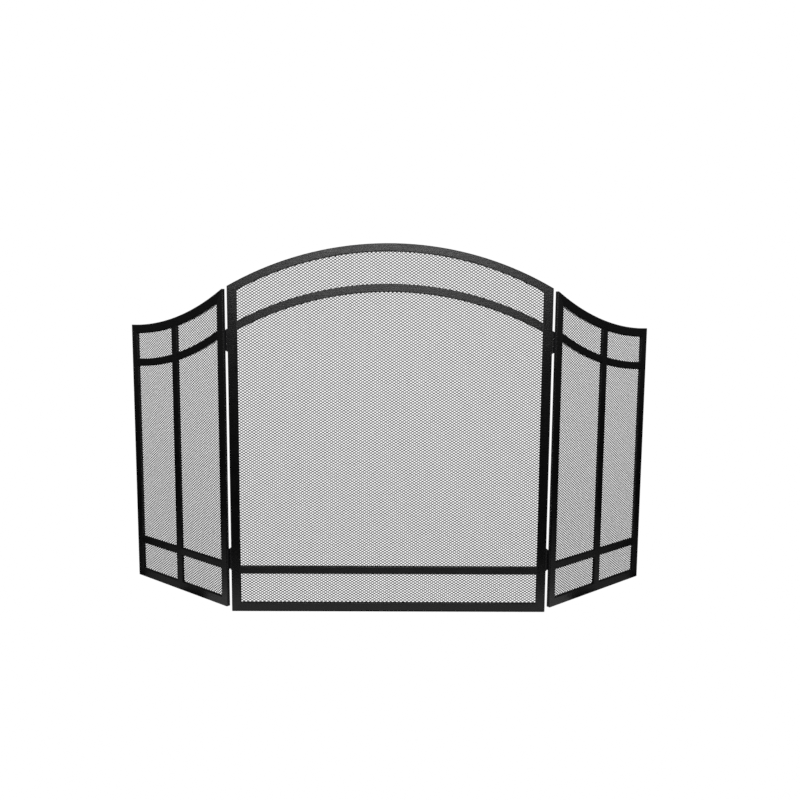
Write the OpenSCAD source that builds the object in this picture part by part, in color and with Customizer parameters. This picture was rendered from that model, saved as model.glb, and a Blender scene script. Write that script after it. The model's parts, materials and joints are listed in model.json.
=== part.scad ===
// Three-panel folding fireplace screen with an arched centre panel.
//
// X runs to the right along the centre panel, Y runs back towards the fire and Z is up.
// The origin is the middle of the centre panel's bottom face, half-way through its depth.
// Every frame member is a welded rectangular steel tube, and a mesh sheet is welded to the
// back of each panel. Each wing turns on two butt hinges whose barrels stand behind the frame.

/* [Centre panel] */
// Width of the centre panel over its stiles
centre_w = 680; // [620:5:740]
// Height of the centre panel at its two outer corners
side_h = 700; // [660:5:740]
// Height of the arch at its crown
crown_h = 790; // [770:5:830]
// How far the inner arch lies below the top arch
arch_drop = 83; // [60:0.5:120]
// Height of the underside of the centre panel's lower bar above the floor
lower_bar_z = 84; // [60:1:120]

/* [Wings] */
// Width of each wing, less than half of the centre panel so that both fold flat behind it
wing_w = 334; // [280:1:336]
// Height of a wing's top corner beside the hinges
wing_high_z = 696; // [670:1:720]
// Height of a wing's outer top corner
wing_low_z = 612; // [560:1:640]
// How far the second curved bar lies below the top bar
curve_drop = 79; // [50:1:110]
// Clearance between the wings and the floor
wing_clear = 8; // [0:0.5:15]
// Height of the underside of a wing's lower bar above the floor
wing_lower_bar_z = 91; // [60:1:120]
// Distance from a wing's hinge-side edge to the middle of its mullion
mullion_x = 171; // [120:1:200]
// How far each wing is folded back from the plane of the centre panel, in degrees
fold = 40; // [0:0.5:90]

/* [Tubes and mesh] */
// Face width of the outer frame tubes
frame_w = 20; // [16:0.5:25]
// Face width of the arches, the lower bars and the curved bars
bar_w = 17; // [12:0.5:20]
// Face width of the mullions
mullion_w = 18.5; // [10:0.5:20]
// Depth of every tube, front to back
tube_d = 8; // [6:0.5:12]
// Wall thickness of the tubes
wall = 1.2; // [1:0.1:1.8]
// Corner radius of the tubes' cross-section
corner_r = 2; // [2:0.1:3.5]
// How far the centre panel's two bottom corners are rounded
centre_corner_r = 3; // [1:0.5:4]
// How far each wing's bottom corner beside the hinges is rounded
wing_corner_r = 5; // [1:0.5:5]
// How far each wing's top corner beside the hinges is rounded
wing_tip_r = 3; // [1:0.5:3]
// Thickness of the mesh sheets
mesh_t = 1; // [0.6:0.1:1.5]
// How far the edges of a mesh sheet lie inside the outer edge of its panel
mesh_inset = 6; // [4:0.5:9]

/* [Hinges] */
// Gap between the centre panel and an opened wing
panel_gap = 3.6; // [3.5:0.1:7]
// Height of a hinge
hinge_h = 45; // [36:1:60]
// Height of the middle of the lower hinges
lower_hinge_z = 115; // [90:1:160]
// Height of the middle of the upper hinges
upper_hinge_z = 587; // [520:1:620]
// Outer radius of the hinge barrels
barrel_r = 3; // [2.5:0.1:3.5]
// Radius of the hinge pins
pin_r = 1.5; // [1.2:0.1:1.7]
// Thickness of the hinge leaves
leaf_t = 1.5; // [1:0.1:1.8]

/* [Hidden] */
$fn = 64;
// Cutting shapes reach this far past what they cut.
margin = 1;
half_w = centre_w / 2;

// The top arch is one arc through both outer corners and the crown.
rise = crown_h - side_h;
arch_r = (half_w * half_w + rise * rise) / (2 * rise);
arch_z = crown_h - arch_r;
arch_span = asin(half_w / arch_r);
// Height where the inside corner of each upper mitre lies.
arch_mitre_z = arch_z + sqrt(pow(arch_r - bar_w, 2) - pow(half_w - frame_w, 2));
arch_mitre_slope = (side_h - arch_mitre_z) / frame_w;

// A wing's top edge is one arc that is level at the outer corner. Its centre is above that corner.
wing_drop = wing_high_z - wing_low_z;
wing_r = (wing_w * wing_w + wing_drop * wing_drop) / (2 * wing_drop);
wing_arc_z = wing_low_z + wing_r;
wing_span = asin(wing_w / wing_r);
wing_under_r = wing_r + frame_w;
wing_mitre_z = wing_arc_z - sqrt(pow(wing_under_r, 2) - pow(wing_w - frame_w, 2));
wing_mitre_slope = (wing_high_z - wing_mitre_z) / frame_w;
wing_outer_mitre_z = wing_arc_z - sqrt(pow(wing_under_r, 2) - pow(frame_w, 2));
wing_outer_slope = (wing_low_z - wing_outer_mitre_z) / frame_w;
// A bent tube is drawn this many degrees too long at a mitred end, then cut to its mitre.
arc_overrun = 2;
// The rounding of a wing's top corner touches both the wing's edge and the arc.
wing_tip_z = wing_arc_z - sqrt(pow(wing_r + wing_tip_r, 2) - pow(wing_w - wing_tip_r, 2));
wing_tip_dir = [wing_w - wing_tip_r, wing_arc_z - wing_tip_z] / (wing_r + wing_tip_r);

// The hinge axes stand one barrel radius behind the backs of the tubes.
hinge_x = half_w + panel_gap / 2;
hinge_y = tube_d / 2 + barrel_r;
// Gap between one knuckle and the next.
knuckle_gap = 0.3;
knuckle_h = (hinge_h - 2 * knuckle_gap) / 3;
knuckle_step = knuckle_h + knuckle_gap;
leaf_clear = 0.3;
leaf_front_inset = 1;
pin_fit = 0.05;
pin_head_r = 2.6;
pin_head_h = 1.8;
pin_dome_r = 3;

steel_black = "#1c1c1d";
mesh_black = "#262627";

// ---- Shapes shared by the panels ----

// A rectangle with round corners, from x = 0 to x = w and centred on y = 0.
module rounded_rect(w, d, r) {
    translate([r, -d / 2]) square([w - 2 * r, d]);
    translate([0, r - d / 2]) square([w, d - 2 * r]);
    for (x = [r, w - r], y = [r - d / 2, d / 2 - r])
        translate([x, y]) circle(r);
}

// The cross-section of a tube whose face is w wide.
module tube_section(w) {
    difference() {
        rounded_rect(w, tube_d, corner_r);
        translate([wall, 0]) rounded_rect(w - 2 * wall, tube_d - 2 * wall, corner_r - wall);
    }
}

// An upright tube, from z = 0 to z = h.
module upright(w, h) {
    linear_extrude(h) tube_section(w);
}

// A level tube along X, from x = 0 to x = length, with its underside at z = 0.
module level_bar(w, length) {
    translate([0, 0, w]) rotate([0, 90, 0]) linear_extrude(length) tube_section(w);
}

// A tube bent to an arc about the Y axis, between two angles from +X towards +Z. Its corners
// are rounded in three flats each.
module arc_bar(outer_r, w, from_deg, to_deg) {
    rotate([90, 0, 0]) rotate([0, 0, from_deg])
        rotate_extrude(angle = to_deg - from_deg, $fn = 360)
            translate([outer_r - w, 0]) tube_section(w, $fn = 12);
}

// A prism along Y over an outline in X and Z, for cutting tubes to their mitres.
module panel_prism(outline) {
    rotate([90, 0, 0]) linear_extrude(4 * tube_d, center = true) polygon(outline);
}

// What is ground off a panel's corner to round it. The rounding has its centre at (x, z) and
// meets the panel's outer edges in the two directions given.
module corner_cut(x, z, r, side_dir, end_dir) {
    rotate([90, 0, 0]) linear_extrude(4 * tube_d, center = true)
        translate([x, z]) difference() {
            polygon(3 * r * [[0, 0], side_dir, side_dir + end_dir, end_dir]);
            circle(r);
        }
}

// ---- Centre panel ----

module centre_bottom_corner_cut() {
    corner_cut(centre_corner_r - half_w, centre_corner_r, centre_corner_r, [-1, 0], [0, -1]);
}

// The left stile, mitred to the bottom rail and to the arch.
module centre_stile() {
    color(steel_black) difference() {
        intersection() {
            translate([-half_w, 0, 0]) upright(frame_w, crown_h);
            panel_prism([
                [-half_w - margin, -margin],
                [-half_w + frame_w + margin, frame_w + margin],
                [-half_w + frame_w + margin, arch_mitre_z - arch_mitre_slope * margin],
                [-half_w - margin, side_h + arch_mitre_slope * margin]
            ]);
        }
        centre_bottom_corner_cut();
    }
}

module centre_left_stile() {
    centre_stile();
}

module centre_right_stile() {
    mirror([1, 0, 0]) centre_stile();
}

module centre_bottom_rail() {
    color(steel_black) difference() {
        intersection() {
            translate([-half_w, 0, 0]) level_bar(frame_w, centre_w);
            panel_prism([
                [-half_w - margin, -margin],
                [half_w + margin, -margin],
                [half_w - frame_w - margin, frame_w + margin],
                [-half_w + frame_w + margin, frame_w + margin]
            ]);
        }
        centre_bottom_corner_cut();
        mirror([1, 0, 0]) centre_bottom_corner_cut();
    }
}

module centre_top_arch() {
    inner_x = half_w - frame_w - margin;
    inner_z = arch_mitre_z - arch_mitre_slope * margin;
    outer_x = half_w + margin;
    outer_z = side_h + arch_mitre_slope * margin;
    color(steel_black) intersection() {
        translate([0, 0, arch_z])
            arc_bar(arch_r, bar_w, 90 - arch_span - arc_overrun, 90 + arch_span + arc_overrun);
        panel_prism([
            [-outer_x, outer_z], [-inner_x, inner_z], [inner_x, inner_z], [outer_x, outer_z],
            [outer_x, crown_h + margin], [-outer_x, crown_h + margin]
        ]);
    }
}

// The inner arch is the same arc as the top one, butted against the stiles.
module centre_inner_arch() {
    inner_x = half_w - frame_w;
    color(steel_black) intersection() {
        translate([0, 0, arch_z - arch_drop])
            arc_bar(arch_r, bar_w, 90 - arch_span, 90 + arch_span);
        panel_prism([[-inner_x, 0], [inner_x, 0], [inner_x, crown_h], [-inner_x, crown_h]]);
    }
}

module centre_lower_bar() {
    color(steel_black)
        translate([frame_w - half_w, 0, lower_bar_z]) level_bar(bar_w, centre_w - 2 * frame_w);
}

module centre_mesh() {
    color(mesh_black) translate([0, tube_d / 2 + mesh_t, 0]) rotate([90, 0, 0])
        linear_extrude(mesh_t) intersection() {
            translate([mesh_inset - half_w, mesh_inset])
                square([centre_w - 2 * mesh_inset, crown_h]);
            translate([0, arch_z]) circle(arch_r - mesh_inset, $fn = 360);
        }
}

// ---- Wings ----
// A wing is drawn opened flat, with its hinge-side edge at x = 0 and its outer edge at
// x = wing_w. wing_side() turns it about its hinges and sets it beside the centre panel.

module fold_back(side) {
    mirror([side == "left" ? 1 : 0, 0, 0])
        translate([hinge_x, hinge_y, 0]) rotate([0, 0, fold]) children();
}

module wing_side(side) {
    fold_back(side) translate([panel_gap / 2, -hinge_y, 0]) children();
}

module wing_bottom_corner_cut() {
    corner_cut(wing_corner_r, wing_clear + wing_corner_r, wing_corner_r, [-1, 0], [0, -1]);
}

module wing_tip_cut() {
    corner_cut(wing_tip_r, wing_tip_z, wing_tip_r, [-1, 0], wing_tip_dir);
}

module wing_inner_stile(side) {
    color(steel_black) wing_side(side) difference() {
        intersection() {
            translate([0, 0, wing_clear]) upright(frame_w, wing_high_z);
            panel_prism([
                [-margin, wing_clear - margin],
                [frame_w + margin, wing_clear + frame_w + margin],
                [frame_w + margin, wing_mitre_z - wing_mitre_slope * margin],
                [-margin, wing_high_z + wing_mitre_slope * margin]
            ]);
        }
        wing_bottom_corner_cut();
        wing_tip_cut();
    }
}

module wing_outer_stile(side) {
    color(steel_black) wing_side(side) intersection() {
        translate([wing_w - frame_w, 0, wing_clear]) upright(frame_w, wing_low_z);
        panel_prism([
            [wing_w + margin, wing_clear - margin],
            [wing_w + margin, wing_low_z + wing_outer_slope * margin],
            [wing_w - frame_w - margin, wing_outer_mitre_z - wing_outer_slope * margin],
            [wing_w - frame_w - margin, wing_clear + frame_w + margin]
        ]);
    }
}

module wing_bottom_rail(side) {
    color(steel_black) wing_side(side) difference() {
        intersection() {
            translate([0, 0, wing_clear]) level_bar(frame_w, wing_w);
            panel_prism([
                [-margin, wing_clear - margin],
                [wing_w + margin, wing_clear - margin],
                [wing_w - frame_w - margin, wing_clear + frame_w + margin],
                [frame_w + margin, wing_clear + frame_w + margin]
            ]);
        }
        wing_bottom_corner_cut();
    }
}

module wing_top_bar(side) {
    color(steel_black) wing_side(side) difference() {
        intersection() {
            translate([wing_w, 0, wing_arc_z])
                arc_bar(wing_under_r, frame_w, 270 - wing_span - arc_overrun, 270 + arc_overrun);
            panel_prism([
                [-margin, wing_high_z + wing_mitre_slope * margin],
                [frame_w + margin, wing_mitre_z - wing_mitre_slope * margin],
                [wing_w / 2, wing_low_z - frame_w - margin],
                [wing_w - frame_w - margin, wing_outer_mitre_z - wing_outer_slope * margin],
                [wing_w + margin, wing_low_z + wing_outer_slope * margin]
            ]);
        }
        wing_tip_cut();
    }
}

// The mullion runs from the bottom rail up to the underside of the top bar.
module wing_mullion(side) {
    foot_z = wing_clear + frame_w;
    color(steel_black) wing_side(side) difference() {
        translate([mullion_x - mullion_w / 2, 0, foot_z]) upright(mullion_w, wing_high_z - foot_z);
        translate([wing_w, 0, wing_arc_z]) rotate([90, 0, 0])
            cylinder(r = wing_under_r, h = 2 * tube_d, center = true, $fn = 360);
    }
}

// One half of the second curved bar, from x = from_x to x = to_x.
module wing_curved_bar(side, from_x, to_x) {
    color(steel_black) wing_side(side) intersection() {
        translate([wing_w, 0, wing_arc_z - curve_drop])
            arc_bar(wing_r + bar_w, bar_w, 270 - wing_span, 270 + arc_overrun);
        panel_prism([
            [from_x, wing_clear], [to_x, wing_clear], [to_x, wing_high_z], [from_x, wing_high_z]
        ]);
    }
}

// One half of the lower bar, from x = from_x to x = to_x.
module wing_lower_bar(side, from_x, to_x) {
    color(steel_black) wing_side(side)
        translate([from_x, 0, wing_lower_bar_z]) level_bar(bar_w, to_x - from_x);
}

module wing_mesh(side) {
    color(mesh_black) wing_side(side) translate([0, tube_d / 2 + mesh_t, 0]) rotate([90, 0, 0])
        linear_extrude(mesh_t) difference() {
            translate([mesh_inset, wing_clear + mesh_inset])
                square([wing_w - 2 * mesh_inset, wing_high_z - wing_clear - 2 * mesh_inset]);
            translate([wing_w, wing_arc_z]) circle(wing_r + mesh_inset, $fn = 360);
        }
}

mullion_near = mullion_x - mullion_w / 2;
mullion_far = mullion_x + mullion_w / 2;
wing_far = wing_w - frame_w;

module left_wing_inner_stile() { wing_inner_stile("left"); }
module left_wing_outer_stile() { wing_outer_stile("left"); }
module left_wing_bottom_rail() { wing_bottom_rail("left"); }
module left_wing_top_bar() { wing_top_bar("left"); }
module left_wing_mullion() { wing_mullion("left"); }
module left_wing_curved_bar_inner() { wing_curved_bar("left", frame_w, mullion_near); }
module left_wing_curved_bar_outer() { wing_curved_bar("left", mullion_far, wing_far); }
module left_wing_lower_bar_inner() { wing_lower_bar("left", frame_w, mullion_near); }
module left_wing_lower_bar_outer() { wing_lower_bar("left", mullion_far, wing_far); }
module left_wing_mesh() { wing_mesh("left"); }

module right_wing_inner_stile() { wing_inner_stile("right"); }
module right_wing_outer_stile() { wing_outer_stile("right"); }
module right_wing_bottom_rail() { wing_bottom_rail("right"); }
module right_wing_top_bar() { wing_top_bar("right"); }
module right_wing_mullion() { wing_mullion("right"); }
module right_wing_curved_bar_inner() { wing_curved_bar("right", frame_w, mullion_near); }
module right_wing_curved_bar_outer() { wing_curved_bar("right", mullion_far, wing_far); }
module right_wing_lower_bar_inner() { wing_lower_bar("right", frame_w, mullion_near); }
module right_wing_lower_bar_outer() { wing_lower_bar("right", mullion_far, wing_far); }
module right_wing_mesh() { wing_mesh("right"); }

// ---- Hinges ----
// A hinge is drawn about its own axis, with its lowest point at z = 0. The centre panel's
// leaf carries the two end knuckles and the wing's leaf carries the middle one.

// A round bar on the hinge axis, over whole knuckles from number first to number last.
module knuckle_span(r, first, last, extra) {
    translate([0, 0, first * knuckle_step - extra])
        cylinder(r = r, h = (last - first) * knuckle_step + knuckle_h + 2 * extra);
}

// The flat of a leaf, on the +X side of the axis, welded to the side of a stile.
module leaf_plate() {
    front_y = leaf_front_inset - tube_d - barrel_r;
    translate([panel_gap / 2 - leaf_t, front_y, 0]) cube([leaf_t, -front_y, hinge_h]);
}

// A leaf with the knuckles numbered in own, which leaves room for those in other.
module hinge_leaf(own, other) {
    difference() {
        union() {
            difference() {
                leaf_plate();
                for (k = other)
                    knuckle_span(barrel_r + leaf_clear, k, k, knuckle_gap);
            }
            for (k = own)
                knuckle_span(barrel_r, k, k, 0);
        }
        knuckle_span(pin_r + pin_fit, 0, 2, margin);
    }
}

// The pin's dome-shaped head, with its flat side at z = 0.
module pin_head() {
    intersection() {
        cylinder(r = pin_head_r, h = pin_head_h);
        translate([0, 0, pin_head_h - pin_dome_r]) sphere(pin_dome_r);
    }
}

module hinge_pin() {
    cylinder(r = pin_r, h = hinge_h);
    translate([0, 0, hinge_h]) pin_head();
    mirror([0, 0, 1]) pin_head();
}

module hinge_centre_leaf(side, middle_z) {
    color(steel_black) mirror([side == "left" ? 1 : 0, 0, 0])
        translate([hinge_x, hinge_y, middle_z - hinge_h / 2])
            mirror([1, 0, 0]) hinge_leaf([0, 2], [1]);
}

module hinge_wing_leaf(side, middle_z) {
    color(steel_black) fold_back(side)
        translate([0, 0, middle_z - hinge_h / 2]) hinge_leaf([1], [0, 2]);
}

module hinge_pin_at(side, middle_z) {
    color(steel_black) mirror([side == "left" ? 1 : 0, 0, 0])
        translate([hinge_x, hinge_y, middle_z - hinge_h / 2]) hinge_pin();
}

module left_upper_hinge_centre_leaf() { hinge_centre_leaf("left", upper_hinge_z); }
module left_upper_hinge_wing_leaf() { hinge_wing_leaf("left", upper_hinge_z); }
module left_upper_hinge_pin() { hinge_pin_at("left", upper_hinge_z); }
module left_lower_hinge_centre_leaf() { hinge_centre_leaf("left", lower_hinge_z); }
module left_lower_hinge_wing_leaf() { hinge_wing_leaf("left", lower_hinge_z); }
module left_lower_hinge_pin() { hinge_pin_at("left", lower_hinge_z); }
module right_upper_hinge_centre_leaf() { hinge_centre_leaf("right", upper_hinge_z); }
module right_upper_hinge_wing_leaf() { hinge_wing_leaf("right", upper_hinge_z); }
module right_upper_hinge_pin() { hinge_pin_at("right", upper_hinge_z); }
module right_lower_hinge_centre_leaf() { hinge_centre_leaf("right", lower_hinge_z); }
module right_lower_hinge_wing_leaf() { hinge_wing_leaf("right", lower_hinge_z); }
module right_lower_hinge_pin() { hinge_pin_at("right", lower_hinge_z); }

centre_left_stile();
centre_right_stile();
centre_bottom_rail();
centre_top_arch();
centre_inner_arch();
centre_lower_bar();
centre_mesh();

left_wing_inner_stile();
left_wing_outer_stile();
left_wing_bottom_rail();
left_wing_top_bar();
left_wing_mullion();
left_wing_curved_bar_inner();
left_wing_curved_bar_outer();
left_wing_lower_bar_inner();
left_wing_lower_bar_outer();
left_wing_mesh();

right_wing_inner_stile();
right_wing_outer_stile();
right_wing_bottom_rail();
right_wing_top_bar();
right_wing_mullion();
right_wing_curved_bar_inner();
right_wing_curved_bar_outer();
right_wing_lower_bar_inner();
right_wing_lower_bar_outer();
right_wing_mesh();

left_upper_hinge_centre_leaf();
left_upper_hinge_wing_leaf();
left_upper_hinge_pin();
left_lower_hinge_centre_leaf();
left_lower_hinge_wing_leaf();
left_lower_hinge_pin();
right_upper_hinge_centre_leaf();
right_upper_hinge_wing_leaf();
right_upper_hinge_pin();
right_lower_hinge_centre_leaf();
right_lower_hinge_wing_leaf();
right_lower_hinge_pin();
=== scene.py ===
"""A folding fireplace screen: powder-coated tubes and hinges from the CAD frame, with the
expanded metal mesh, weld beads and spot welds built here.

Each wing is worked on as if it were opened flat beside the centre panel, and its pieces are
then folded to the pose at rest. In that flat layout X runs along the panels and Y is depth.
"""
import json
import math

import bpy
import numpy as np
from mathutils import Matrix, Vector
from mathutils.geometry import convex_hull_2d


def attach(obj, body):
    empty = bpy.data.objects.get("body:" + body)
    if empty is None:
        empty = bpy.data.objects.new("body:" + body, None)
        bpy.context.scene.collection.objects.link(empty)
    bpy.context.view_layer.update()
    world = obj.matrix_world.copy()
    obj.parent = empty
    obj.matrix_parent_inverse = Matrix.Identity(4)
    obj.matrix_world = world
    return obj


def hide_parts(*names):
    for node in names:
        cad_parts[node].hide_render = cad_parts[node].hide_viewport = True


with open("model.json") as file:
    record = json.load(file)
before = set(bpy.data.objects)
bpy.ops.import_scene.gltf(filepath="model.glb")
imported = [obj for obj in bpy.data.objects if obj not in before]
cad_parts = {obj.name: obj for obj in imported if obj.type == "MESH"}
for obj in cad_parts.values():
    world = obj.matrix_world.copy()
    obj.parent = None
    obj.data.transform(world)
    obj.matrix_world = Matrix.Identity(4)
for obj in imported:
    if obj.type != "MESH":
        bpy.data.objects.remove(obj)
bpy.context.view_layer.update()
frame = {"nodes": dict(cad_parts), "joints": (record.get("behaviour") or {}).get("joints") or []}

# Each body, with the start of its pieces' names.
PANELS = (
    ("centre_panel", "centre_"),
    ("left_wing", "left_wing_"),
    ("right_wing", "right_wing_"),
)

# The ends of the names of the tubes that stand upright.
UPRIGHTS = ("stile", "mullion")

# A wing's short bars, which are butted against its uprights.
WING_CROSSWISE = ("curved_bar_inner", "curved_bar_outer", "lower_bar_inner", "lower_bar_outer")

# Face widths of the outer frame's tubes and of the arches and bars inside it.
FRAME_W = 0.020
BAR_W = 0.017

# The expanded metal: cells of this width and height, between flat tilted strands.
CELL_W = 0.00887
CELL_H = 0.00586
STRAND_W = 0.00136
STRAND_T = 0.00040
STRAND_TILT = math.radians(18)

# The knuckle where two strands cross. Its depth is a share of the CAD sheet's thickness.
BOND_W = 0.0034
BOND_H = 0.0019
BOND_DEPTH_SHARE = 0.9

# Weld beads: their radius, and how far below a tube's front and back they are ground.
BEAD_R = 0.0013
GRIND_DEPTH = 0.00003

# How far from a tube's end its end vertices lie: a square end, and one cut along a curve.
SQUARE_END_REACH = 0.0001
CURVED_END_REACH = 0.1

# Spot welds: radius, distance apart, and distance from the ends of upright and other tubes.
SPOT_R = 0.0030
SPOT_PITCH = 0.070
SPOT_INSET_UPRIGHT = 0.030
SPOT_INSET_LEVEL = 0.025
SPOT_SEED = 7

# Linear colours of the coats. BLACK is the tubes' mean tone, the others are pairs for a mix.
BLACK = (0.0025, 0.0025, 0.0026)
MESH_DARK = (0.012, 0.012, 0.013, 1)
MESH_LIGHT = (0.020, 0.020, 0.021, 1)
HINGE_COATED = (0.013, 0.013, 0.014, 1)
HINGE_WORN = (0.075, 0.072, 0.070, 1)

# The powder coat's roughness on tubes and welds, and how far its sheen is drawn out on tubes.
TUBE_ROUGHNESS = 0.42
WELD_ROUGHNESS = 0.50
SHEEN_STRETCH = 0.6

# The floor and the world as all light but the camera's own view meets them.
FLOOR_TONE = (0.02, 0.02, 0.02, 1)
WORLD_TONE = (1, 1, 1, 1)
WORLD_STRENGTH = 0.125

# How far above the floor the weak lights lie.
GLOW_HEIGHT = 0.003


# ---- Flat layout ----

def unfold_matrix(body):
    """The transform from the flat layout to where the body is at rest."""
    for joint in frame["joints"]:
        if joint["child"] == body:
            pivot = Matrix.Translation(joint["pos_m"])
            turn = Matrix.Rotation(math.radians(-joint["range_deg"][0]), 4, Vector(joint["axis"]))
            return pivot @ turn @ pivot.inverted()
    return Matrix.Identity(4)


def flat_points(node, body):
    """The node's vertices in the flat layout, one row each."""
    mesh = frame["nodes"][node].data
    points = np.empty(len(mesh.vertices) * 3)
    mesh.vertices.foreach_get("co", points)
    back = np.array(unfold_matrix(body).inverted())
    return points.reshape(-1, 3) @ back[:3, :3].T + back[:3, 3]


class MeshBuilder:
    """Collects faces in the flat layout and makes them one piece that rides on a body."""

    def __init__(self):
        self.points = []
        self.faces = []

    def add(self, points, faces):
        first = len(self.points)
        self.points.extend(tuple(p) for p in points)
        self.faces.extend(tuple(first + i for i in face) for face in faces)

    def piece(self, name, body, material, smooth=False):
        mesh = bpy.data.meshes.new(name)
        mesh.from_pydata(self.points, [], self.faces)
        mesh.transform(unfold_matrix(body))
        mesh.materials.append(material)
        if smooth:
            mesh.shade_smooth()
        else:
            mesh.shade_flat()
        obj = bpy.data.objects.new(name, mesh)
        bpy.context.scene.collection.objects.link(obj)
        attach(obj, body)
        return obj


# ---- Materials ----

class Nodes:
    """A short way to write a material's nodes."""

    def __init__(self, name):
        self.material = bpy.data.materials.new(name)
        self.material.use_nodes = True
        self.tree = self.material.node_tree
        self.shader = self.tree.nodes["Principled BSDF"]

    def new(self, kind, **values):
        node = self.tree.nodes.new(kind)
        for key, value in values.items():
            setattr(node, key, value)
        return node

    def link(self, source, target):
        self.tree.links.new(source, target)

    def math(self, operation, first, second=None):
        node = self.new("ShaderNodeMath", operation=operation)
        for socket, value in zip(node.inputs, (first, second)):
            if isinstance(value, bpy.types.NodeSocket):
                self.link(value, socket)
            elif value is not None:
                socket.default_value = value
        return node.outputs[0]

    def noise(self, vector, scale, detail=2.0):
        node = self.new("ShaderNodeTexNoise")
        node.inputs["Scale"].default_value = scale
        node.inputs["Detail"].default_value = detail
        self.link(vector, node.inputs["Vector"])
        return node.outputs["Fac"]

    def spread(self, value, low, high):
        """A noise value, which lies mostly between 0.25 and 0.75, mapped to low and high."""
        node = self.new("ShaderNodeMapRange")
        node.inputs["From Min"].default_value = 0.25
        node.inputs["From Max"].default_value = 0.75
        node.inputs["To Min"].default_value = low
        node.inputs["To Max"].default_value = high
        self.link(value, node.inputs["Value"])
        return node.outputs["Result"]


def powder_coat(name, tone, roughness, angle=0.0, level=True, sheen_stretch=0.0):
    """Black satin powder coat over drawn steel. Its faint draw lines run along the tube, which
    lies level or stands upright in a plane turned by angle about Z. The sheen is drawn out
    across the tube's length by sheen_stretch."""
    line_stretch = 0.02
    darkest, lightest = 0.8, 1.25
    n = Nodes(name)
    place = n.new("ShaderNodeTexCoord").outputs["Object"]
    turned = n.new("ShaderNodeMapping")
    turned.inputs["Rotation"].default_value = (0, 0, -angle)
    n.link(place, turned.inputs["Vector"])
    along = n.new("ShaderNodeMapping")
    along.inputs["Scale"].default_value = (line_stretch, 1, 1) if level else (1, 1, line_stretch)
    n.link(turned.outputs["Vector"], along.inputs["Vector"])

    lines = n.noise(along.outputs["Vector"], 900, 3)
    peel = n.noise(place, 420, 3)
    clouds = n.noise(place, 22, 4)
    speck = n.noise(place, 2600, 1)

    tones = n.new("ShaderNodeMix", data_type="RGBA")
    n.link(n.spread(clouds, 0, 1), tones.inputs["Factor"])
    tones.inputs["A"].default_value = (*[darkest * t for t in tone], 1)
    tones.inputs["B"].default_value = (*[lightest * t for t in tone], 1)
    n.link(tones.outputs["Result"], n.shader.inputs["Base Color"])

    dull = n.math("ADD", n.spread(clouds, -0.05, 0.05), n.spread(lines, -0.06, 0.06))
    dull = n.math("ADD", dull, n.spread(speck, -0.03, 0.03))
    n.link(n.math("ADD", dull, roughness), n.shader.inputs["Roughness"])

    height = n.math("ADD", n.math("MULTIPLY", peel, 0.6), n.math("MULTIPLY", lines, 0.4))
    bump = n.new("ShaderNodeBump")
    bump.inputs["Strength"].default_value = 0.9
    bump.inputs["Distance"].default_value = 0.0009
    n.link(height, bump.inputs["Height"])
    n.link(bump.outputs["Normal"], n.shader.inputs["Normal"])

    if sheen_stretch:
        across = n.new("ShaderNodeCombineXYZ")
        side = (0, 0, 1) if level else (math.cos(angle), math.sin(angle), 0)
        for socket, value in zip(across.inputs, side):
            socket.default_value = value
        n.shader.inputs["Anisotropic"].default_value = sheen_stretch
        n.link(across.outputs["Vector"], n.shader.inputs["Tangent"])
    return n.material


def wire_coat():
    """The mesh's thinner black coat, a little lighter than the tubes' and uneven."""
    n = Nodes("mesh_black")
    place = n.new("ShaderNodeTexCoord").outputs["Object"]
    grain = n.noise(place, 900, 2)
    clouds = n.noise(place, 14, 3)
    tones = n.new("ShaderNodeMix", data_type="RGBA")
    n.link(n.spread(clouds, 0, 1), tones.inputs["Factor"])
    tones.inputs["A"].default_value = MESH_DARK
    tones.inputs["B"].default_value = MESH_LIGHT
    n.link(tones.outputs["Result"], n.shader.inputs["Base Color"])
    n.link(n.spread(grain, 0.42, 0.62), n.shader.inputs["Roughness"])
    bump = n.new("ShaderNodeBump")
    bump.inputs["Strength"].default_value = 0.3
    bump.inputs["Distance"].default_value = 0.00008
    n.link(grain, bump.inputs["Height"])
    n.link(bump.outputs["Normal"], n.shader.inputs["Normal"])
    return n.material


def hinge_coat():
    """Black coat worn a little thin on the corners of the knuckles and leaves."""
    n = Nodes("hinge_black")
    place = n.new("ShaderNodeTexCoord").outputs["Object"]
    grain = n.noise(place, 700, 3)
    rounded = n.new("ShaderNodeBevel", samples=4)
    rounded.inputs["Radius"].default_value = 0.0006
    true_normal = n.new("ShaderNodeNewGeometry").outputs["Normal"]
    facing = n.new("ShaderNodeVectorMath", operation="DOT_PRODUCT")
    n.link(rounded.outputs["Normal"], facing.inputs[0])
    n.link(true_normal, facing.inputs[1])
    edge = n.math("SUBTRACT", 1.0, facing.outputs["Value"])
    worn = n.math("MULTIPLY", n.math("MULTIPLY", edge, 5.0), n.spread(grain, 0.2, 1.0))
    tones = n.new("ShaderNodeMix", data_type="RGBA", clamp_factor=True)
    n.link(worn, tones.inputs["Factor"])
    tones.inputs["A"].default_value = HINGE_COATED
    tones.inputs["B"].default_value = HINGE_WORN
    n.link(tones.outputs["Result"], n.shader.inputs["Base Color"])
    n.link(n.spread(grain, 0.34, 0.5), n.shader.inputs["Roughness"])
    n.link(rounded.outputs["Normal"], n.shader.inputs["Normal"])
    return n.material


# ---- Expanded metal mesh ----

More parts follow.
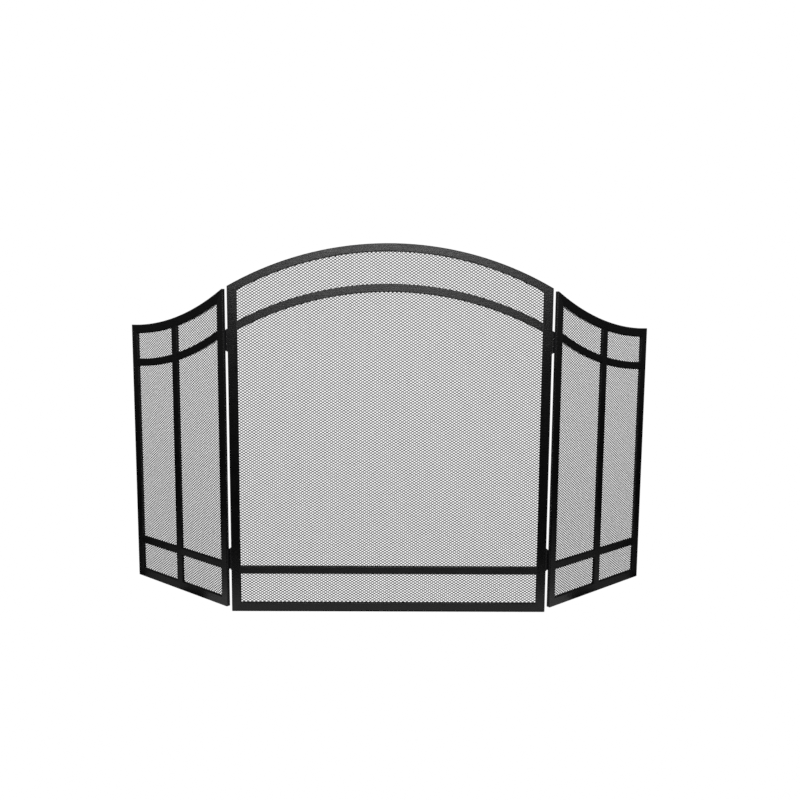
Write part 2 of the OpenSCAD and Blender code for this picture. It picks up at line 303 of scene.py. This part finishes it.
def sheet_outline(points):
    """The sheet's outline as (x, z) corners: two at the bottom, then back along the top edge."""
    decimals = 7
    above_bottom = 0.01
    flat = np.unique(np.round(points[:, [0, 2]], decimals), axis=0)
    bottom = flat[:, 1].min()
    top = flat[flat[:, 1] > bottom + above_bottom]
    top = top[np.argsort(-top[:, 0], kind="stable")]
    low, high = flat[:, 0].min(), flat[:, 0].max()
    return np.vstack([[low, bottom], [high, bottom], top])


def spans_inside(outline, start, direction):
    """Where an endless line runs inside the outline, as pairs of distances along it."""
    normal = np.array([-direction[1], direction[0]])
    heights = (outline - start) @ normal
    following = np.roll(heights, -1)
    crossing = (heights > 0) != (following > 0)
    share = heights[crossing] / (heights[crossing] - following[crossing])
    hits = outline[crossing] + share[:, None] * (np.roll(outline, -1, axis=0) - outline)[crossing]
    distances = np.sort((hits - start) @ direction)
    return list(zip(distances[0::2], distances[1::2]))


def add_strand(builder, start, end, depth, tilt):
    """A flat strand between two (x, z) points, turned by tilt about its own length."""
    direction = (end - start) / np.linalg.norm(end - start)
    run_x, run_z = direction
    cos, sin = math.cos(tilt), math.sin(tilt)
    across = np.array([-run_z * cos, sin, run_x * cos])
    thick = np.array([run_z * sin, cos, -run_x * sin])
    corners = [
        a * across * STRAND_W / 2 + b * thick * STRAND_T / 2
        for a, b in ((-1, -1), (1, -1), (1, 1), (-1, 1))
    ]
    near = [np.array([start[0], depth, start[1]]) + c for c in corners]
    far = [np.array([end[0], depth, end[1]]) + c for c in corners]
    sides = [(i, (i + 1) % 4, (i + 1) % 4 + 4, i + 4) for i in range(4)]
    builder.add(near + far, sides + [(3, 2, 1, 0), (4, 5, 6, 7)])


def add_bond(builder, x, z, depth, half_depth):
    """The faceted knuckle where two strands stay joined."""
    points = [
        (x - BOND_W / 2, depth, z), (x, depth, z - BOND_H / 2),
        (x + BOND_W / 2, depth, z), (x, depth, z + BOND_H / 2),
        (x, depth - half_depth, z), (x, depth + half_depth, z),
    ]
    around = [(i, (i + 1) % 4) for i in range(4)]
    builder.add(points, [(a, b, 4) for a, b in around] + [(b, a, 5) for a, b in around])


def inside(outline, x, z):
    """Which of the points (x, z) lie inside the outline."""
    ends = np.roll(outline, -1, axis=0)
    result = np.zeros(len(x), bool)
    for (x0, z0), (x1, z1) in zip(outline, ends):
        if z0 != z1:
            crosses = (z0 > z) != (z1 > z)
            result ^= crosses & (x < x0 + (z - z0) * (x1 - x0) / (z1 - z0))
    return result


def expanded_mesh(name, node, body, material):
    """Straight rows of strands both ways across the panel, with a knuckle at every crossing."""
    points = flat_points(node, body)
    outline = sheet_outline(points)
    depth = (points[:, 1].min() + points[:, 1].max()) / 2
    half_depth = (points[:, 1].max() - points[:, 1].min()) / 2
    low, high = outline.min(axis=0), outline.max(axis=0)
    middle = (low[0] + high[0]) / 2
    columns = math.ceil((high[0] - low[0]) / CELL_W)
    rows = math.ceil((high[1] - low[1]) / CELL_H)

    builder = MeshBuilder()
    for lean in (1, -1):
        direction = np.array([CELL_W, lean * CELL_H]) / math.hypot(CELL_W, CELL_H)
        for k in range(-columns - rows, columns + rows + 1):
            start = np.array([middle + k * CELL_W, low[1]])
            for near, far in spans_inside(outline, start, direction):
                if far - near > STRAND_W:
                    add_strand(builder, start + near * direction, start + far * direction,
                               depth, STRAND_TILT)

    step = np.arange(-columns - 1, columns + 2)
    for row in range(2 * rows + 1):
        x = middle + step * CELL_W + (row % 2) * CELL_W / 2
        z = np.full(len(x), low[1] + row * CELL_H / 2)
        for at in x[inside(outline, x, z)]:
            add_bond(builder, at, z[0], depth, BOND_DEPTH_SHARE * half_depth)

    obj = builder.piece(name, body, material)
    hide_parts(node)


# ---- Welds ----

def end_ring(points, axis, side, reach):
    """The outline of a tube's end: its vertices within reach of the end along an axis."""
    along = points[:, axis]
    limit = along.max() if side > 0 else along.min()
    ends = points[np.abs(along - limit) < reach]
    other = [i for i in (0, 1, 2) if i != axis]
    hull = convex_hull_2d([Vector(p) for p in ends[:, other]])
    return ends[hull]


def add_bead(builder, ring, axis, side, radius):
    """A weld bead round the end of a tube, sunk into the corner between the two tubes and
    ground flush with the tube's front and back."""
    count = 44
    section = 8
    inward = 0.7
    endward = 0.45
    ripple = 0.06
    steps_per_ripple = 4
    front = ring[:, 1].min() + GRIND_DEPTH
    back = ring[:, 1].max() - GRIND_DEPTH
    centre = ring.mean(axis=0)
    closed = np.vstack([ring, ring[:1]])
    lengths = np.concatenate([[0], np.cumsum(np.linalg.norm(np.diff(closed, axis=0), axis=1))])
    at = np.linspace(0, lengths[-1], count, endpoint=False)
    path = np.stack([np.interp(at, lengths, closed[:, i]) for i in range(3)], axis=1)
    outward = path - centre
    outward[:, axis] = 0
    outward /= np.linalg.norm(outward, axis=1)[:, None]
    end_dir = np.zeros(3)
    end_dir[axis] = side
    path = path - outward * radius * inward + end_dir * radius * endward
    points = []
    for i in range(count):
        size = radius * (1 + ripple * math.sin(2 * math.pi * i / steps_per_ripple))
        for j in range(section):
            turn = 2 * math.pi * j / section
            point = path[i] + size * (math.cos(turn) * outward[i] + math.sin(turn) * end_dir)
            point[1] = min(max(point[1], front), back)
            points.append(point)
    faces = []
    for i in range(count):
        following = (i + 1) % count
        for j in range(section):
            beside = (j + 1) % section
            faces.append((i * section + j, i * section + beside,
                          following * section + beside, following * section + j))
    builder.add(points, faces)


def add_spot(builder, x, y, z, size):
    """A low round dab of weld on the back of the mesh."""
    sides = 12
    top_rise = 0.0008
    # Each ring's share of the dab's radius, and how far it stands off the mesh.
    rings = ((1.0, -0.0006), (0.82, 0.0003), (0.45, 0.0007))
    points = [
        (x + size * share * math.cos(2 * math.pi * i / sides), y + rise,
         z + size * share * math.sin(2 * math.pi * i / sides))
        for share, rise in rings for i in range(sides)
    ]
    points.append((x, y + top_rise, z))
    faces = []
    for ring in range(len(rings) - 1):
        for i in range(sides):
            beside = (i + 1) % sides
            faces.append((ring * sides + i, (ring + 1) * sides + i,
                          (ring + 1) * sides + beside, ring * sides + beside))
    last = (len(rings) - 1) * sides
    faces += [(last + i, len(points) - 1, last + (i + 1) % sides) for i in range(sides)]
    builder.add(points, faces)


def bead_piece(name, body, joints, material):
    """One piece with a bead at every tube end listed as (node, axis, side, reach)."""
    builder = MeshBuilder()
    for node, axis, side, reach in joints:
        ring = end_ring(flat_points(node, body), axis, side, reach)
        add_bead(builder, ring, axis, side, BEAD_R)
    builder.piece(name, body, material, smooth=True)


def spread_along(low, high):
    """Evenly spaced places for spot welds between two ends."""
    count = max(2, round((high - low) / SPOT_PITCH) + 1)
    return np.linspace(low, high, count)


def inset_ends(points):
    """Where the first and the last spot weld of a level or curved tube lie in X."""
    return points[:, 0].min() + SPOT_INSET_LEVEL, points[:, 0].max() - SPOT_INSET_LEVEL


def spot_piece(name, body, sheet, uprights, levels, curves, material):
    """The spot welds that hold the mesh to the backs of the tubes. A curve is the nodes along
    it, a place in X, and the height of its middle line there: it runs level with the top edge."""
    points = flat_points(sheet, body)
    outline = sheet_outline(points)
    top = outline[2:][::-1]
    back = points[:, 1].max()
    builder = MeshBuilder()
    rng = np.random.default_rng(SPOT_SEED)
    smallest, largest = 0.85, 1.15
    off_x, off_z = 0.002, 0.001

    def spot(x, z):
        size = SPOT_R * rng.uniform(smallest, largest)
        x += rng.uniform(-off_x, off_x)
        z += rng.uniform(-off_z, off_z)
        add_spot(builder, x, back, z, size)

    def edge_z(x):
        return np.interp(x, top[:, 0], top[:, 1])

    for node in uprights:
        box = flat_points(node, body)
        x = (box[:, 0].min() + box[:, 0].max()) / 2
        low = box[:, 2].min() + SPOT_INSET_UPRIGHT
        high = min(box[:, 2].max(), edge_z(x)) - SPOT_INSET_UPRIGHT
        for z in spread_along(low, high):
            spot(x, z)
    for node in levels:
        box = flat_points(node, body)
        z = (box[:, 2].min() + box[:, 2].max()) / 2
        for x in spread_along(*inset_ends(box)):
            spot(x, z)
    for nodes, at, below in curves:
        box = np.vstack([flat_points(node, body) for node in nodes])
        shift = edge_z(at) - below
        for x in spread_along(*inset_ends(box)):
            spot(x, edge_z(x) - shift)
    builder.piece(name, body, material, smooth=True)


# ---- Put the object together ----

def finish_panel(body, prefix, mesh_material, weld_material):
    """Builds one panel's mesh, weld beads and spot welds."""
    sheet = prefix + "mesh"
    expanded_mesh(prefix + "expanded_metal", sheet, body, mesh_material)
    if body == "centre_panel":
        crosswise = ("centre_inner_arch", "centre_lower_bar")
        upright_ends = []
        uprights = ("centre_left_stile", "centre_right_stile")
        levels = ("centre_bottom_rail", "centre_lower_bar")
        arch = flat_points("centre_top_arch", body)[:, 2].max()
        inner = flat_points("centre_inner_arch", body)[:, 2].max()
        curves = (
            (("centre_top_arch",), 0.0, arch - BAR_W / 2),
            (("centre_inner_arch",), 0.0, inner - BAR_W / 2),
        )
    else:
        crosswise = [prefix + p for p in WING_CROSSWISE]
        upright_ends = [(prefix + "mullion", 2, side, CURVED_END_REACH) for side in (-1, 1)]
        uprights = [prefix + p for p in ("inner_stile", "outer_stile", "mullion")]
        levels = [prefix + p for p in ("bottom_rail", "lower_bar_inner", "lower_bar_outer")]
        outer = flat_points(prefix + "outer_stile", body)
        at = outer[:, 0].mean()
        curved = [prefix + "curved_bar_inner", prefix + "curved_bar_outer"]
        low = flat_points(curved[1], body)[:, 2].min() + BAR_W / 2
        curves = (
            ((prefix + "top_bar",), at, outer[:, 2].max() - FRAME_W / 2),
            ((curved[0],), at, low),
            ((curved[1],), at, low),
        )
    level_ends = [(node, 0, side, SQUARE_END_REACH) for node in crosswise for side in (-1, 1)]
    bead_piece(prefix + "weld_beads", body, level_ends + upright_ends, weld_material)
    spot_piece(prefix + "spot_welds", body, sheet, uprights, levels, curves, weld_material)


def paint(node, material):
    """Puts one material on a CAD piece."""
    for slot in frame["nodes"][node].material_slots:
        slot.material = material


def coat_tubes(body, prefix):
    """Gives a panel's level and upright tubes coats whose draw lines follow the tube."""
    angle = unfold_matrix(body).to_euler().z
    coats = {}
    for level, word in ((True, "level"), (False, "upright")):
        coats[level] = powder_coat(f"{prefix}{word}_black", BLACK, TUBE_ROUGHNESS, angle,
                                   level, SHEEN_STRETCH)
    for node in frame["nodes"]:
        if node.startswith(prefix) and "hinge" not in node and not node.endswith("_mesh"):
            paint(node, coats[not node.endswith(UPRIGHTS)])


def coat_hinges():
    """Gives every hinge leaf and pin the hinges' coat."""
    material = hinge_coat()
    for node in frame["nodes"]:
        if "hinge" in node:
            paint(node, material)


wire = wire_coat()
weld = powder_coat("weld_black", BLACK, WELD_ROUGHNESS)
for body, prefix in PANELS:
    coat_tubes(body, prefix)
    finish_panel(body, prefix, wire, weld)
coat_hinges()


# ---- Stage, light and camera ----

def white_to_the_camera(tree, shader_for_rest, output):
    """White where the camera looks straight at it, and the given shader for all other light."""
    white = tree.nodes.new("ShaderNodeEmission")
    white.inputs["Strength"].default_value = 1.0
    path = tree.nodes.new("ShaderNodeLightPath")
    mix = tree.nodes.new("ShaderNodeMixShader")
    tree.links.new(path.outputs["Is Camera Ray"], mix.inputs[0])
    tree.links.new(shader_for_rest.outputs[0], mix.inputs[1])
    tree.links.new(white.outputs[0], mix.inputs[2])
    tree.links.new(mix.outputs[0], output)


def make_floor():
    mesh = bpy.data.meshes.new("floor")
    half = 6.0
    mesh.from_pydata([(-half, -half, 0), (half, -half, 0), (half, half, 0), (-half, half, 0)],
                     [], [(0, 1, 2, 3)])
    floor = bpy.data.objects.new("floor", mesh)
    bpy.context.scene.collection.objects.link(floor)
    material = bpy.data.materials.new("pale_floor")
    material.use_nodes = True
    tree = material.node_tree
    tree.nodes.clear()
    matt = tree.nodes.new("ShaderNodeBsdfDiffuse")
    matt.inputs["Color"].default_value = FLOOR_TONE
    output = tree.nodes.new("ShaderNodeOutputMaterial")
    white_to_the_camera(tree, matt, output.inputs["Surface"])
    mesh.materials.append(material)


def make_world():
    world = bpy.data.worlds.new("studio")
    world.use_nodes = True
    bpy.context.scene.world = world
    tree = world.node_tree
    tree.nodes.clear()
    dim = tree.nodes.new("ShaderNodeBackground")
    dim.inputs["Color"].default_value = WORLD_TONE
    dim.inputs["Strength"].default_value = WORLD_STRENGTH
    output = tree.nodes.new("ShaderNodeOutputWorld")
    white_to_the_camera(tree, dim, output.inputs["Surface"])


def softbox(name, place, aim, width, height, power):
    """A rectangular area light at a place, turned towards aim and hidden from the camera."""
    light = bpy.data.lights.new(name, "AREA")
    light.shape = "RECTANGLE"
    light.size = width
    light.size_y = height
    light.energy = power
    obj = bpy.data.objects.new(name, light)
    bpy.context.scene.collection.objects.link(obj)
    obj.location = place
    obj.rotation_euler = (Vector(aim) - Vector(place)).to_track_quat("-Z", "Y").to_euler()
    obj.visible_camera = False


def floor_glow(name, x, y, width, depth, power):
    """A weak light lying on the floor, for what the white floor of a real studio gives back."""
    softbox(name, (x, y, GLOW_HEIGHT), (x, y, 1), width, depth, power)


def make_lights():
    """One soft box above the front, and glows at the panels' foot, at the sides and behind."""
    softbox("top_front_light", (0, -0.8, 1.0), (0, 0, 0.8), 1.0, 0.2, 7.8)
    floor_glow("floor_glow_middle", 0, -0.05, 1.0, 0.2, 0.37)
    for side in (-1, 1):
        floor_glow("floor_glow_side", 0.72 * side, -0.05, 0.45, 0.5, 0.16)
    floor_glow("floor_glow_back", 0, 0.75, 1.5, 0.8, 14)


def make_camera():
    """The photograph's viewpoint: 0.67 m up and 1.74 m in front of the middle, looking down."""
    place = (0.0012, -1.7367, 0.6714)
    camera = bpy.data.cameras.new("camera")
    camera.sensor_width = 36.0
    camera.lens = 37.23
    obj = bpy.data.objects.new("camera", camera)
    bpy.context.scene.collection.objects.link(obj)
    # Radians: to the right, downwards, and about the line of sight.
    yaw, pitch, roll = 0.0116, 0.1190, 0.0075
    forward = Vector((math.sin(yaw) * math.cos(pitch), math.cos(yaw) * math.cos(pitch),
                      -math.sin(pitch)))
    right = Vector((math.cos(yaw), -math.sin(yaw), 0))
    up = right.cross(forward)
    rolled_right = right * math.cos(roll) + up * math.sin(roll)
    rolled_up = up * math.cos(roll) - right * math.sin(roll)
    turn = Matrix((rolled_right, rolled_up, -forward)).transposed().to_4x4()
    obj.matrix_world = Matrix.Translation(place) @ turn
    bpy.context.scene.camera = obj


bpy.context.scene.view_settings.view_transform = "Standard"
bpy.context.scene.cycles.use_denoising = False
make_floor()
make_world()
make_lights()
make_camera()
